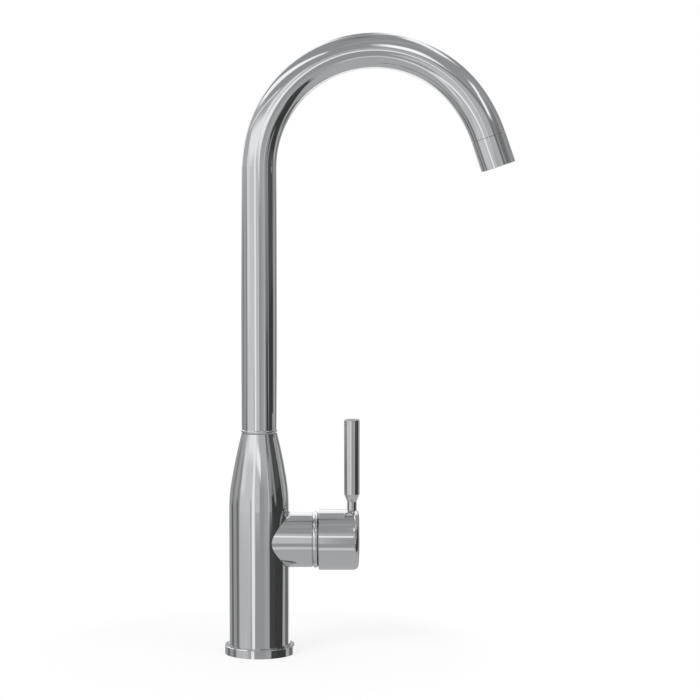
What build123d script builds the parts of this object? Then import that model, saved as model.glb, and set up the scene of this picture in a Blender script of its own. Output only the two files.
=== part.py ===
from build123d import *
import os
from math import acos, asin, atan, cos, hypot, radians, sin, tan

# Three way filtered water tap: a monobloc kitchen tap with a swan neck spout and one side lever.
# Hot, cold and filtered water come up inside the column. The lever's ceramic cartridge opens one of
# them. Mains water runs in the spout tube, and filtered water in a small tube inside it.
#
# Frame: origin at the centre of the base ring's underside, +Z up, +X towards the lever, which is
# also the way that the spout points at rest, and -Y towards the front.
#
# All sizes are in mm and degrees. Each group gives its driving sizes first. A value worked out from
# others follows them, so that a changed size takes its neighbours with it.

# ------------------------------------------------------------------ clearances
RUN = 0.08                    # radial clearance of a part that turns or slides in another
SEAT = 0.05                   # gap round a part that is screwed, pushed or brazed in
PLAY = 0.35                   # free space round a part that swings past another
PAST = 1.0                    # how far a cutting tool runs past the face that it cuts

# ------------------------------------------------------------------ spout tube
# It goes up, round a swan neck that opens out a little at its end, and down to the outlet.
TUBE_D = 26.4
TUBE_WALL = 1.5
JOINT_Z = 164.0               # top face of the column, where the spout turns
RISE = 195.8                  # from the joint to the start of the bend
BEND_R = 85.0
RELAX_FROM = 35.0             # angle above the horizontal where the bend opens out
RELAX_BY = 23.0               # how much larger its radius is from there on
OUTLET_TILT = 19.0            # between the outlet's axis and the vertical
TUBE_R = TUBE_D / 2
TUBE_BORE_R = TUBE_R - TUBE_WALL
BEND_Z = JOINT_Z + RISE
RELAX_R = BEND_R + RELAX_BY

# ------------------------------------------------------------------ joint between spout and column
WASHER_H = 0.5
WASHER_W = 2.0
WASHER_INSET = 0.3            # of its edge from the column's
BEAD_PROUD = 0.4              # of the bead round the spout's foot, beyond the tube
BEAD_H = 2.0
JOINT_STEP = 0.4              # the column's top is this much smaller in radius than the bead
SOCKET_WALL = 2.72
SOCKET_DEPTH = 34.5
SPIGOT_L = 31.5               # below the joint, as are the next three rows' heights
SPIGOT_WALL = 3.2
BEARINGS_DOWN = (2.0, 26.5)
O_RINGS_DOWN = (14.5, 20.5)
GROOVE_DOWN = 7.3             # groove for the retaining screw
GROOVE_H = 4.6
GROOVE_DEPTH = 1.4
O_RING_H = 2.2
O_RING_W = 1.6
BEARING_H = 2.0
BEARING_W = 1.0
PLUG_L = 10.0                 # the spigot's upper end, brazed into the tube
PLUG_WALL = 2.0
BEAD_R = TUBE_R + BEAD_PROUD
BEAD_Z = JOINT_Z + WASHER_H + 2 * SEAT
TUBE_FOOT = BEAD_Z + BEAD_H
JOINT_R = BEAD_R - JOINT_STEP
SOCKET_R = JOINT_R - SOCKET_WALL
SOCKET_Z = JOINT_Z - SOCKET_DEPTH
SPIGOT_R = SOCKET_R - RUN
SPIGOT_END = JOINT_Z - SPIGOT_L
GROOVE_Z = JOINT_Z - GROOVE_DOWN
O_RING_Z = [JOINT_Z - down for down in O_RINGS_DOWN]
BEARING_Z = [JOINT_Z - down for down in BEARINGS_DOWN]

# retaining screw, through the back of the column
RETAINER_R = 2.0
RETAINER_L = 5.0
RETAINER_KEY = 2.0            # across the flats of its hexagon socket
RETAINER_LIFT = 0.6           # between its tip and the groove's floor
RETAINER_TIP = SPIGOT_R - GROOVE_DEPTH + RETAINER_LIFT

# ------------------------------------------------------------------ column
COLUMN_D = 45.4
COLUMN_WALL = 3.1             # round the space for the hoses
COLUMN_FOOT_CHAMFER = 0.5
FLARE_L = 47.2                # from the joint down to where the flank meets the cylinder
FLARE_SHOULDER_R = 110.0
FLARE_BEND = radians(2.2)     # the flank's foot is this much steeper than a straight cone
COLUMN_R = COLUMN_D / 2
HOSE_SPACE_R = COLUMN_R - COLUMN_WALL
FLARE_Z = JOINT_Z - FLARE_L

# base ring and its gasket
RING_PROUD = 3.45             # of the ring beyond the column
RING_H = 6.4
RING_SEAT_H = 3.0             # the column stands on this ledge inside the ring
RING_EDGE = 0.5
RING_BORE_EDGE = 0.4
GASKET_W = 3.2
GASKET_H = 2.0
RING_R = COLUMN_R + RING_PROUD
GASKET_BORE_R = (HOSE_SPACE_R + RING_R - GASKET_W) / 2

# ------------------------------------------------------------------ cartridge
# Distances along the boss are measured from the column's axis.
BOSS_Z = 84.5                 # height of the boss's axis
CARTRIDGE_D = 35.0
CARTRIDGE_BORE_GAP = 0.2
FLOOR_X = 6.0                 # floor of the cartridge's bore
CARTRIDGE_BASE_H = 5.0
LOWER_DISC_H = 4.0
UPPER_DISC_H = 3.9
DISC_LAP = 0.05               # water film between the ceramic discs
LOWER_DISC_GAP = 0.4
HOUSING_WALL = 1.0
HOUSING_STEP = 2.1            # its neck is this much smaller in radius
HOUSING_NECK_L = 4.0
HOUSING_NECK_WALL = 1.9
DRIVER_H = 3.2
DRIVER_FLOOR = 0.5            # under the ball's socket
DRIVER_RIM = 0.8              # of the moving disc that shows round the driver
DRIVER_HEADROOM = 1.35
KEY_W = 12.0                  # tongue of the driver that the carrier turns
KEY_L = 17.0
KEY_H = 1.5                   # how far it reaches into the carrier
CARRIER_H = 9.0               # below its shoulder
CARRIER_WALL_GAP = 0.6        # wall step between disc chamber and carrier
CARRIER_END_PLAY = 0.5
CARRIER_SLOT = 12.4
PEG_R = 1.5
PEG_H = 1.8
PEG_INSET = 4.5               # from the cartridge's edge
TILT = 25.0                   # the lever's travel from closed to open
PIVOT_ABOVE = 0.5             # the pin's distance beyond the carrier's shoulder
PIN_R = 1.75
PIN_L = 25.0
BALL_R = 2.6
BALL_ARM = 10.6               # from the pin to the ball that moves the disc
CARTRIDGE_R = CARTRIDGE_D / 2
CARTRIDGE_BORE_R = CARTRIDGE_R + CARTRIDGE_BORE_GAP
CHAMBER_R = CARTRIDGE_R - HOUSING_WALL
NECK_R = CARTRIDGE_R - HOUSING_STEP
NECK_BORE_R = NECK_R - HOUSING_NECK_WALL
CARRIER_R = CHAMBER_R - CARRIER_WALL_GAP - RUN
PEG_PITCH_R = CARTRIDGE_R - PEG_INSET
DISC_TRAVEL = BALL_ARM * radians(TILT)
DISC_REST = -DISC_TRAVEL / 2  # the closed disc sits this far off the cartridge's axis
LOWER_DISC_R = CHAMBER_R - LOWER_DISC_GAP
UPPER_DISC_R = CHAMBER_R - DISC_TRAVEL / 2 - PLAY
DRIVER_R = UPPER_DISC_R - DRIVER_RIM
BASE_TOP = FLOOR_X + CARTRIDGE_BASE_H
LOWER_DISC_TOP = BASE_TOP + LOWER_DISC_H
UPPER_DISC_FOOT = LOWER_DISC_TOP + DISC_LAP
UPPER_DISC_TOP = UPPER_DISC_FOOT + UPPER_DISC_H
DRIVER_TOP = UPPER_DISC_TOP + DRIVER_H
CARRIER_FOOT = DRIVER_TOP + DRIVER_HEADROOM
KEY_TOP = CARRIER_FOOT + KEY_H
CARRIER_SHOULDER = CARRIER_FOOT + CARRIER_H
HOUSING_SHOULDER = CARRIER_SHOULDER + CARRIER_END_PLAY
HOUSING_NECK_END = HOUSING_SHOULDER + HOUSING_NECK_L
PIVOT_X = CARRIER_SHOULDER + PIVOT_ABOVE
BALL_X = PIVOT_X - BALL_ARM

# ports on the cartridge's face, and the pocket in the moving disc that joins two of them
SELECT_ANGLE = 50.0           # turn of the lever from one kind of water to the next
PORT_INSET = 7.0              # of the ports' circle from the cartridge's edge
INLET_R = 2.5
MIXED_R = 2.8
MIXED_UP = 1.0
FILTERED_R = 2.2
PORT_SEAL_W = 1.3
PORT_SEAL_H = 1.1
POCKET_R = 2.6
POCKET_DEPTH = 2.4
POCKET_OVERHANG = 1.5         # of its lower end past the ports' circle
POCKET_L = 6.5
PORT_PITCH_R = CARTRIDGE_R - PORT_INSET
POCKET_FROM = -PORT_PITCH_R - POCKET_OVERHANG
POCKET_TO = POCKET_FROM + POCKET_L
SIDE_UP = -PORT_PITCH_R * cos(radians(SELECT_ANGLE))
SIDE_OUT = PORT_PITCH_R * sin(radians(SELECT_ANGLE))
PORTS = {                     # how far up and to the front each port lies, and its radius
    "hot": (SIDE_UP, -SIDE_OUT, INLET_R),
    "cold": (-PORT_PITCH_R, 0.0, INLET_R),
    "filtered": (SIDE_UP, SIDE_OUT, INLET_R),
    "mixed_out": (MIXED_UP, 0.0, MIXED_R),
    "filtered_out": (PORT_PITCH_R, 0.0, FILTERED_R),
}

# ------------------------------------------------------------------ side boss, nut and trim ring
BOSS_WALL = 3.0               # round the cartridge
BOSS_OVER = 6.4               # of the boss beyond the cartridge's shoulder
BOSS_EDGE = 0.4
NUT_THREAD_WALL = 1.5         # of the boss round the nut's thread
NUT_FLANGE_STEP = 1.0
NUT_FLANGE_H = 3.6
NUT_NOSE_W = 0.8              # of the nose round the housing's neck
NUT_NOSE_H = 2.0
NUT_NOTCHES = 6
NUT_NOTCH_W = 4.0
NUT_NOTCH_DEPTH = 1.5
TRIM_PROUD = 0.5              # crown of the bead beyond the boss
TRIM_EDGE_IN = 0.4            # its edges, inside the boss's radius
TRIM_L = 4.05
DOME_STEP = 0.3               # between the bead's edge and the dome
DOME_WALL = 1.2
DOME_MOUTH = 38.0             # half angle of the opening for the spindle
BOSS_R = CARTRIDGE_R + BOSS_WALL
BOSS_END = HOUSING_SHOULDER + BOSS_OVER
NUT_THREAD_R = BOSS_R - NUT_THREAD_WALL
NUT_BORE_R = NECK_R + SEAT
NUT_NOSE_R = NECK_R + NUT_NOSE_W
NUT_FLANGE_R = NUT_THREAD_R - NUT_FLANGE_STEP
NUT_FLANGE_END = BOSS_END + NUT_FLANGE_H
NUT_END = NUT_FLANGE_END + NUT_NOSE_H
TRIM_R = BOSS_R + TRIM_PROUD
TRIM_EDGE_R = BOSS_R - TRIM_EDGE_IN
TRIM_END = BOSS_END + TRIM_L
DOME_R = hypot(TRIM_EDGE_R - DOME_STEP, TRIM_END - PIVOT_X)  # about the pivot: the cap rolls over it

# ------------------------------------------------------------------ handle
CAP_PROUD = 2.1               # of the cap beyond the boss
CAP_L = 30.3
CAP_WALL = 1.9
CAP_END_WALL = 2.2
CAP_END_R = 4.5
CAP_RIM_EDGE = 0.3
HUB_R = 8.0
SPINDLE_W = 8.0
SPINDLE_T = 7.0
SPINDLE_GRIP = 10.25          # of the spindle in the cap's hub
SPINDLE_HUB_R = 5.0
SPINDLE_NECK_R = 1.8
GRUB_R = 2.5
GRUB_L = 9.0
GRUB_KEY = 2.5                # across the flats of its hexagon socket
GRUB_UP = 5.25                # from the hub's foot
LEVER_D = 11.8
LEVER_L = 66.85               # above the cap
LEVER_FROM_END = 5.7          # of its axis from the cap's end
LEVER_TOP_EDGE = 0.4
NECK_D = 7.2
NECK_L = 5.8
TAPER_L = 5.6
NECK_RECESS = 1.0             # of the neck's foot in the cap
NECK_GAP = 0.2
LEVER_STUD_R = 2.5
LEVER_STUD_L = 9.0
LEVER_BOSS_R = 5.2
CAP_R = BOSS_R + CAP_PROUD
CAP_BORE_R = CAP_R - CAP_WALL
CAP_RIM = TRIM_END + PLAY
CAP_END = CAP_RIM + CAP_L
CAP_CAVITY_END = CAP_END - CAP_END_WALL
CAP_TOP_Z = BOSS_Z + CAP_R
HUB_FOOT = PIVOT_X + DOME_R + PLAY
SPINDLE_END = HUB_FOOT + SPINDLE_GRIP
GRUB_X = HUB_FOOT + GRUB_UP
LEVER_X = CAP_END - LEVER_FROM_END
TAPER_FOOT = CAP_TOP_Z + NECK_L
TAPER_TOP = TAPER_FOOT + TAPER_L
LEVER_TOP = CAP_TOP_Z + LEVER_L

# ------------------------------------------------------------------ waterway block in the column
BLOCK_DROP = 34.0             # of its underside, with the threaded inlets, below the boss's axis
INLET_THREAD_R = 4.5          # M10x1, at its core
INLET_THREAD_L = 10.0
SIDE_INLET_X = 1.0
BACK_INLET_WALL = 2.5         # between the back inlet and the column's wall
STUD_R = 3.4                  # M8, at its core
STUD_L = 12.0
STUD_WALL = 3.1               # between the stud and the column's wall
BLOCK_Z = BOSS_Z - BLOCK_DROP
BACK_INLET_X = INLET_THREAD_R + BACK_INLET_WALL - HOSE_SPACE_R
STUD_X = HOSE_SPACE_R - STUD_R - STUD_WALL
MIXED_X = MIXED_R + RUN - SOCKET_R      # riser of the mixed water, at the socket's edge

# ------------------------------------------------------------------ filtered water line
LINE_D = 8.0
LINE_WALL = 1.5
LINE_LIFT = 3.5               # of its foot above the socket's floor
NIPPLE_THREAD_R = 3.0
NIPPLE_THREAD_L = 9.0
NIPPLE_COLLAR_R = 4.0
NIPPLE_COLLAR_H = 2.0
NIPPLE_L = 15.0               # above the socket's floor
NIPPLE_BORE_R = 1.3
UNION_SEAL_LIFT = 10.0
UNION_SEAL_H = 1.5
UNION_SEAL_W = 0.5
LINE_BORE_R = LINE_D / 2 - LINE_WALL
LINE_FOOT = SOCKET_Z + LINE_LIFT
NIPPLE_TOP = SOCKET_Z + NIPPLE_L
UNION_SEAL_Z = SOCKET_Z + UNION_SEAL_LIFT

# ------------------------------------------------------------------ outlet
# Distances run down the outlet's axis from the end of the tube.
NOZZLE_L = 23.0
NOZZLE_REVEAL = 0.12          # the fine gap that shows between tube and nozzle
NOZZLE_LIP_W = 2.7
NOZZLE_LIP_H = 1.7
NOZZLE_EDGE = 0.3
ADAPTER_IN = 4.0
ADAPTER_OUT = 7.0
ADAPTER_WALL = 2.3
ADAPTER_GAP = 0.12            # brazing gap, wide enough for the tube's last bend
NOZZLE_SEAL_H = 2.4
NOZZLE_SEAL_W = 2.2
AERATOR_PLATE_H = 2.0
AERATOR_WALL = 1.2
AERATOR_HOLES = 12
AERATOR_HOLE_R = 0.9
SCREEN_H = 1.3
SCREEN_SLOTS = 20
SCREEN_SLOT_W = 0.9
SCREEN_SLOT_L = 3.4
SCREEN_RIM = 1.4
JET_R = 3.0
JET_BORE_R = 1.5
JET_STEM_L = 11.65            # how far it reaches up from its flange, into the line
JET_STEM_GAP = 0.2
JET_FLANGE_R = 4.6
JET_FLANGE_H = 0.8
LIP_R = TUBE_R - NOZZLE_LIP_W
LIP_TOP = NOZZLE_L - NOZZLE_LIP_H
AERATOR_TOP = ADAPTER_OUT + NOZZLE_SEAL_H + 2 * SEAT
AERATOR_R = TUBE_BORE_R - 3 * SEAT
AERATOR_BORE_R = JET_R + SEAT
AERATOR_HOLE_PITCH_R = (AERATOR_R + AERATOR_BORE_R) / 2
SCREEN_R = LIP_R - SEAT
SCREEN_SLOT_PITCH_R = SCREEN_R - SCREEN_RIM - SCREEN_SLOT_L / 2
JET_FOOT = AERATOR_TOP - SEAT - JET_FLANGE_H - JET_STEM_L

# ------------------------------------------------------------------ working planes
# In the boss, local Z runs out along the boss, local X is up and local Y is the front.
BOSS = Plane(origin=(0, 0, BOSS_Z), x_dir=(0, 0, 1), z_dir=(1, 0, 0))
FOOT = (Align.CENTER, Align.CENTER, Align.MIN)


# ------------------------------------------------------------------ shapes used by several pieces
def rod(radius, low, high):
    """Cylinder on the Z axis between two heights."""
    return Pos(0, 0, low) * Cylinder(radius, high - low, align=FOOT)


def ring(inner, outer, low, high):
    """Plain ring on the Z axis, such as a washer or a bush."""
    return rod(outer, low, high) - rod(inner, low, high)


def turned(*corners):
    """Solid turned about the Z axis from the (radius, height) corners of its outline."""
    return turned_outline(Polyline(*corners, close=True))


def turned_outline(outline):
    """Solid turned about the Z axis from a closed outline drawn as radius and height."""
    return revolve(Plane.XZ * make_face(outline), Axis.Z)


def drilling(start, end, radius):
    """Round hole from one point to another."""
    run = Vector(*end) - Vector(*start)
    return Plane(origin=start, z_dir=run) * Cylinder(radius, run.length, align=FOOT)


def block(x_size, y_size, low, high):
    """Box centred on the Z axis between two heights."""
    return Pos(0, 0, low) * Box(x_size, y_size, high - low, align=FOOT)


def grub_screw(radius, length, key):
    """Headless screw on the Z axis, tip down, with a hexagon socket in its top."""
    socket = extrude(RegularPolygon(key / 2, 6, major_radius=False), amount=-length / 3)
    body = rod(radius, 0, length)
    return chamfer(body.edges().filter_by(GeomType.CIRCLE).sort_by(Axis.Z)[0], radius / 4) - (
        Pos(0, 0, length) * socket
    )


def port_seals(low):
    """One seal round each port of the cartridge, standing on a given height."""
    return Compound([
        Pos(up, front, 0) * ring(radius + SEAT, radius + PORT_SEAL_W, low, low + PORT_SEAL_H)
        for up, front, radius in PORTS.values()
    ])


def port_cuts(low, high, grow=0.0):
    """The five ports as cutting tools, grown for the seats of their seals."""
    return [Pos(up, front, 0) * rod(radius + grow, low, high) for up, front, radius in PORTS.values()]


# ------------------------------------------------------------------ spout path
def spout_path(foot, beyond=0.0):
    """Centreline of the spout from a height on the column's axis to the outlet, and beyond it."""
    centre = Vector(BEND_R, 0, BEND_Z)
    relax_centre = centre - radial(RELAX_FROM) * (RELAX_R - BEND_R)
    bend_top = centre + Vector(0, 0, BEND_R)
    bend_end = centre + radial(RELAX_FROM) * BEND_R
    relax_mid = relax_centre + radial((RELAX_FROM + OUTLET_TILT) / 2) * RELAX_R
    outlet = relax_centre + radial(OUTLET_TILT) * RELAX_R
    path = Line((0, 0, foot), (0, 0, BEND_Z))
    path += ThreePointArc((0, 0, BEND_Z), bend_top, bend_end)
    path += ThreePointArc(bend_end, relax_mid, outlet)
    if beyond:
        path += Line(outlet, outlet + outlet_direction() * beyond)
    return path


def radial(angle):
    """Unit vector in the spout's plane at an angle above the horizontal."""
    return Vector(cos(radians(angle)), 0, sin(radians(angle)))


def outlet_direction():
    """Unit vector along which water leaves."""
    return Vector(sin(radians(OUTLET_TILT)), 0, -cos(radians(OUTLET_TILT)))


def outlet_plane():
    """Plane across the end of the spout tube, with local Z the way that water leaves."""
    end = spout_path(JOINT_Z) @ 1
    return Plane(origin=end, x_dir=radial(OUTLET_TILT), z_dir=outlet_direction())


def piped(path, outer, inner):
    """Tube of a given outer and inner radius along a path that starts upright."""
    start = Plane(origin=path @ 0, z_dir=path % 0)
    return sweep(start * Circle(outer), path=path) - sweep(start * Circle(inner), path=path)


# ------------------------------------------------------------------ column and base
def flared_column():
    """Outer form of the column: a cylinder, a rounded shoulder and a slightly bowed flank."""
    lean = atan((COLUMN_R - JOINT_R) / FLARE_L) - FLARE_BEND
    start = (COLUMN_R, FLARE_Z - FLARE_SHOULDER_R * tan(lean / 2))
    flank = (COLUMN_R - FLARE_SHOULDER_R * (1 - cos(lean)), start[1] + FLARE_SHOULDER_R * sin(lean))
    top = (JOINT_R, JOINT_Z)
    foot = (COLUMN_R, RING_SEAT_H + COLUMN_FOOT_CHAMFER)
    inset = (COLUMN_R - COLUMN_FOOT_CHAMFER, RING_SEAT_H)
    outline = Polyline(top, (0, JOINT_Z), (0, RING_SEAT_H), inset, foot, start)
    outline += TangentArc(start, flank, tangent=(0, 1))
    outline += TangentArc(flank, top, tangent=(-sin(lean), cos(lean)))
    return turned_outline(outline)


def waterways():
    """Threaded inlets and drillings from them to the cartridge, and on up to the spout."""
    plan = {"hot": SIDE_INLET_X, "filtered": SIDE_INLET_X, "cold": BACK_INLET_X}
    cuts = []
    for name, x in plan.items():
        up, front, radius = PORTS[name]
        y, z = -front, BOSS_Z + up
        cuts.append(drilling((x, y, BLOCK_Z), (x, y, BLOCK_Z + INLET_THREAD_L), INLET_THREAD_R))
        cuts.append(drilling((x, y, BLOCK_Z), (x, y, z), radius))
        cuts.append(drilling((x - radius, y, z), (FLOOR_X, y, z), radius))
    mixed_z = BOSS_Z + MIXED_UP
    cuts.append(drilling((MIXED_X - MIXED_R, 0, mixed_z), (FLOOR_X, 0, mixed_z), MIXED_R))
    cuts.append(drilling((MIXED_X, 0, mixed_z), (MIXED_X, 0, SOCKET_Z), MIXED_R))
    clean_z = BOSS_Z + PORT_PITCH_R
    cuts.append(drilling((-FILTERED_R, 0, clean_z), (FLOOR_X, 0, clean_z), FILTERED_R))
    cuts.append(drilling((0, 0, clean_z), (0, 0, SOCKET_Z), FILTERED_R))
    cuts.append(rod(NIPPLE_THREAD_R, SOCKET_Z - NIPPLE_THREAD_L - PAST, SOCKET_Z))
    cuts.append(drilling((STUD_X, 0, BLOCK_Z), (STUD_X, 0, BLOCK_Z + STUD_L), STUD_R))
    return cuts


def body_casting():
    """Column and side boss in one casting, hollow for the hoses, with the waterway block above."""
    body = flared_column() + BOSS * rod(BOSS_R, 0, BOSS_END)
    mouth = body.edges().filter_by(GeomType.CIRCLE).sort_by(Axis.X)[-1]
    body = chamfer(mouth, BOSS_EDGE)
    body -= rod(HOSE_SPACE_R, 0, BLOCK_Z)
    body -= rod(SOCKET_R, SOCKET_Z, JOINT_Z)
    body -= BOSS * rod(CARTRIDGE_BORE_R, FLOOR_X, BOSS_END)
    body -= BOSS * rod(NUT_THREAD_R + SEAT, HOUSING_SHOULDER - PLAY, BOSS_END)
    for side in (-1, 1):
        body -= BOSS * Pos(0, side * PEG_PITCH_R, 0) * rod(PEG_R + SEAT, FLOOR_X - PEG_H - SEAT, FLOOR_X)
    body -= drilling((0, 0, GROOVE_Z), (0, COLUMN_R, GROOVE_Z), RETAINER_R + SEAT)
    for cut in waterways():
        body -= cut
    return body


def base_ring():
    """Collar that the column stands in, with a groove for the gasket underneath."""
    seat = COLUMN_R + SEAT
    collar = turned(
        (HOSE_SPACE_R, 0), (RING_R, 0), (RING_R, RING_H - RING_EDGE), (RING_R - RING_EDGE, RING_H),
        (seat + RING_BORE_EDGE, RING_H), (seat, RING_H - RING_BORE_EDGE), (seat, RING_SEAT_H),
        (HOSE_SPACE_R, RING_SEAT_H),
    )
    return collar - ring(GASKET_BORE_R, GASKET_BORE_R + GASKET_W, 0, GASKET_H)


def base_gasket():
    """Rubber ring, pressed flush with the base ring's underside."""
    return ring(GASKET_BORE_R + SEAT, GASKET_BORE_R + GASKET_W - SEAT, 0, GASKET_H - SEAT)


# ------------------------------------------------------------------ spout
def spout_tube():
    """Bent tube from the joint bead to the outlet."""
    return piped(spout_path(TUBE_FOOT), TUBE_R, TUBE_BORE_R)


def spout_spigot():
    """Turned piece at the tube's foot: a plug in the tube, the bead, and the spigot in the socket."""
    bead = Polyline((TUBE_R, TUBE_FOOT), (0, TUBE_FOOT), (0, BEAD_Z), (TUBE_R, BEAD_Z))
    bead += ThreePointArc((TUBE_R, BEAD_Z), (BEAD_R, BEAD_Z + BEAD_H / 2), (TUBE_R, TUBE_FOOT))
    spigot = turned_outline(bead) + rod(SPIGOT_R, SPIGOT_END, BEAD_Z)
    plug_r = TUBE_BORE_R - SEAT
    spigot += rod(plug_r, TUBE_FOOT, TUBE_FOOT + PLUG_L)
    spigot -= rod(SPIGOT_R - SPIGOT_WALL, SPIGOT_END, TUBE_FOOT)
    spigot -= rod(plug_r - PLUG_WALL, TUBE_FOOT, TUBE_FOOT + PLUG_L)
    spigot -= groove(GROOVE_Z, GROOVE_H, GROOVE_DEPTH)
    for z in O_RING_Z:
        spigot -= groove(z, O_RING_H + 2 * SEAT, O_RING_W + SEAT)
    for z in BEARING_Z:
        spigot -= groove(z, BEARING_H + 2 * SEAT, BEARING_W + SEAT)
    return spigot


def groove(z, height, depth):
    """Groove round the spigot, centred on a height."""
    return ring(SPIGOT_R - depth, SPIGOT_R + PAST, z - height / 2, z + height / 2)


def spigot_rings(heights, height, width):
    """Rings in the spigot's grooves, one at each height."""
    outer = SOCKET_R - SEAT
    return Compound([ring(outer - width, outer, z - height / 2, z + height / 2) for z in heights])


def spout_slide_washer():
    """Thin plastic washer that the spout turns on."""
    foot, outer = JOINT_Z + SEAT, JOINT_R - WASHER_INSET
    return ring(outer - WASHER_W, outer, foot, foot + WASHER_H)


def spout_retaining_screw():
    """Headless screw through the back of the column, with its tip in the spigot's groove."""
    back = Plane(origin=(0, RETAINER_TIP, GROOVE_Z), x_dir=(1, 0, 0), z_dir=(0, 1, 0))
    return back * grub_screw(RETAINER_R, RETAINER_L, RETAINER_KEY)


# ------------------------------------------------------------------ outlet
def spout_end_adapter():
    """Threaded bush brazed into the tube's end."""
    outer = TUBE_BORE_R - ADAPTER_GAP
    return ring(outer - ADAPTER_WALL, outer, -ADAPTER_IN, ADAPTER_OUT)


def nozzle_housing():
    """Short sleeve that screws onto the adapter and holds the aerator on its lip."""
    bore = TUBE_BORE_R - SEAT
    sleeve = turned(
        (bore, NOZZLE_REVEAL), (TUBE_R, NOZZLE_REVEAL), (TUBE_R, NOZZLE_L), (LIP_R, NOZZLE_L),
        (LIP_R, LIP_TOP), (bore, LIP_TOP),
    )
    edges = sleeve.edges().filter_by(GeomType.CIRCLE).sort_by(SortBy.RADIUS)[-2:]
    return chamfer(edges, NOZZLE_EDGE)


def nozzle_seal():
    """Flat washer between the adapter and the aerator."""
    outer = TUBE_BORE_R - 2 * SEAT
    return ring(outer - NOZZLE_SEAL_W, outer, ADAPTER_OUT + SEAT, ADAPTER_OUT + SEAT + NOZZLE_SEAL_H)


def aerator_insert():
    """Plastic cup with a drilled plate on top and a sleeve in its middle for the filtered jet."""
    foot = LIP_TOP - SEAT
    plate_foot = AERATOR_TOP + AERATOR_PLATE_H
    cup = ring(AERATOR_R - AERATOR_WALL, AERATOR_R, AERATOR_TOP, foot)
    cup += ring(AERATOR_BORE_R, AERATOR_R, AERATOR_TOP, plate_foot)
    cup += ring(AERATOR_BORE_R, AERATOR_BORE_R + AERATOR_WALL, AERATOR_TOP, foot)
    hole = rod(AERATOR_HOLE_R, AERATOR_TOP, plate_foot)
    return cup - PolarLocations(AERATOR_HOLE_PITCH_R, AERATOR_HOLES) * hole


def aerator_screen():
    """Slotted disc in the lip's opening, where the mains water leaves."""
    disc = ring(AERATOR_BORE_R, SCREEN_R, LIP_TOP, LIP_TOP + SCREEN_H)
    slot = block(SCREEN_SLOT_L, SCREEN_SLOT_W, LIP_TOP, LIP_TOP + SCREEN_H)
    return disc - PolarLocations(SCREEN_SLOT_PITCH_R, SCREEN_SLOTS) * slot


def filtered_outlet_jet():
    """Plastic jet in the middle of the outlet, pushed into the end of the filtered line."""
    flange_top = AERATOR_TOP - SEAT
    flange_foot = flange_top - JET_FLANGE_H
    jet = rod(LINE_BORE_R - JET_STEM_GAP, JET_FOOT, flange_foot)
    jet += rod(JET_FLANGE_R, flange_foot, flange_top)
    jet += rod(JET_R, flange_top, LIP_TOP + SCREEN_H)
    return jet - rod(JET_BORE_R, JET_FOOT, NOZZLE_L)


# ------------------------------------------------------------------ filtered water line
def filtered_tube():
    """Small tube along the spout's centreline, from the union in the column to the jet."""
    return piped(spout_path(LINE_FOOT, ADAPTER_OUT), LINE_D / 2, LINE_BORE_R)


def filtered_union_nipple():
    """Nipple in the socket's floor. The line turns on it when the spout is swung."""
    pin = LINE_BORE_R - RUN
    nipple = rod(NIPPLE_THREAD_R - SEAT, SOCKET_Z - NIPPLE_THREAD_L, SOCKET_Z)
    nipple += rod(NIPPLE_COLLAR_R, SOCKET_Z, SOCKET_Z + NIPPLE_COLLAR_H)
    nipple += rod(pin, SOCKET_Z + NIPPLE_COLLAR_H, NIPPLE_TOP)
    seal_foot = UNION_SEAL_Z - UNION_SEAL_H / 2
    groove_foot, groove_top = seal_foot - SEAT, seal_foot + UNION_SEAL_H + SEAT
    nipple -= ring(pin - UNION_SEAL_W, pin + PAST, groove_foot, groove_top)
    return nipple - rod(NIPPLE_BORE_R, SOCKET_Z - NIPPLE_THREAD_L, NIPPLE_TOP)


def filtered_union_seal():
    """Seal in the nipple's groove."""
    outer = LINE_BORE_R - SEAT
    low = UNION_SEAL_Z - UNION_SEAL_H / 2
    return ring(LINE_BORE_R - RUN - UNION_SEAL_W + SEAT, outer, low, low + UNION_SEAL_H)


# ------------------------------------------------------------------ cartridge, in the boss's plane
def cartridge_base():
    """Foot of the cartridge, with its ports, the seats of their seals and two locating pegs."""
    base = rod(CARTRIDGE_R, FLOOR_X, BASE_TOP)
    for side in (-1, 1):
        base += Pos(0, side * PEG_PITCH_R, 0) * rod(PEG_R, FLOOR_X - PEG_H, FLOOR_X)
    base -= port_cuts(FLOOR_X, BASE_TOP)
    base -= port_cuts(FLOOR_X, FLOOR_X + PORT_SEAL_H + SEAT, PORT_SEAL_W + SEAT)
    base -= port_cuts(BASE_TOP - PORT_SEAL_H - SEAT, BASE_TOP, PORT_SEAL_W + SEAT)
    return base


def lower_ceramic_disc():
    """Fixed disc, lapped flat, with the five ports."""
    return rod(LOWER_DISC_R, BASE_TOP, LOWER_DISC_TOP) - port_cuts(BASE_TOP, LOWER_DISC_TOP)


def upper_ceramic_disc():
    """Moving disc. A pocket in its face joins an inlet to the outlet when it slides up."""
    disc = Pos(DISC_REST, 0, 0) * rod(UPPER_DISC_R, UPPER_DISC_FOOT, UPPER_DISC_TOP)
    middle = (POCKET_FROM + POCKET_TO) / 2
    outline = Pos(middle, 0, UPPER_DISC_FOOT) * SlotCenterToCenter(POCKET_L, 2 * POCKET_R)
    return disc - extrude(outline, amount=POCKET_DEPTH)


def disc_driver():
    """Slide on the moving disc: a socket for the spindle's ball, and a tongue that the carrier turns."""
    driver = Pos(DISC_REST, 0, 0) * rod(DRIVER_R, UPPER_DISC_TOP, DRIVER_TOP)
    driver += block(KEY_L, KEY_W, DRIVER_TOP, KEY_TOP)
    return driver - rod(BALL_R + PLAY, UPPER_DISC_TOP + DRIVER_FLOOR, KEY_TOP)


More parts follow.
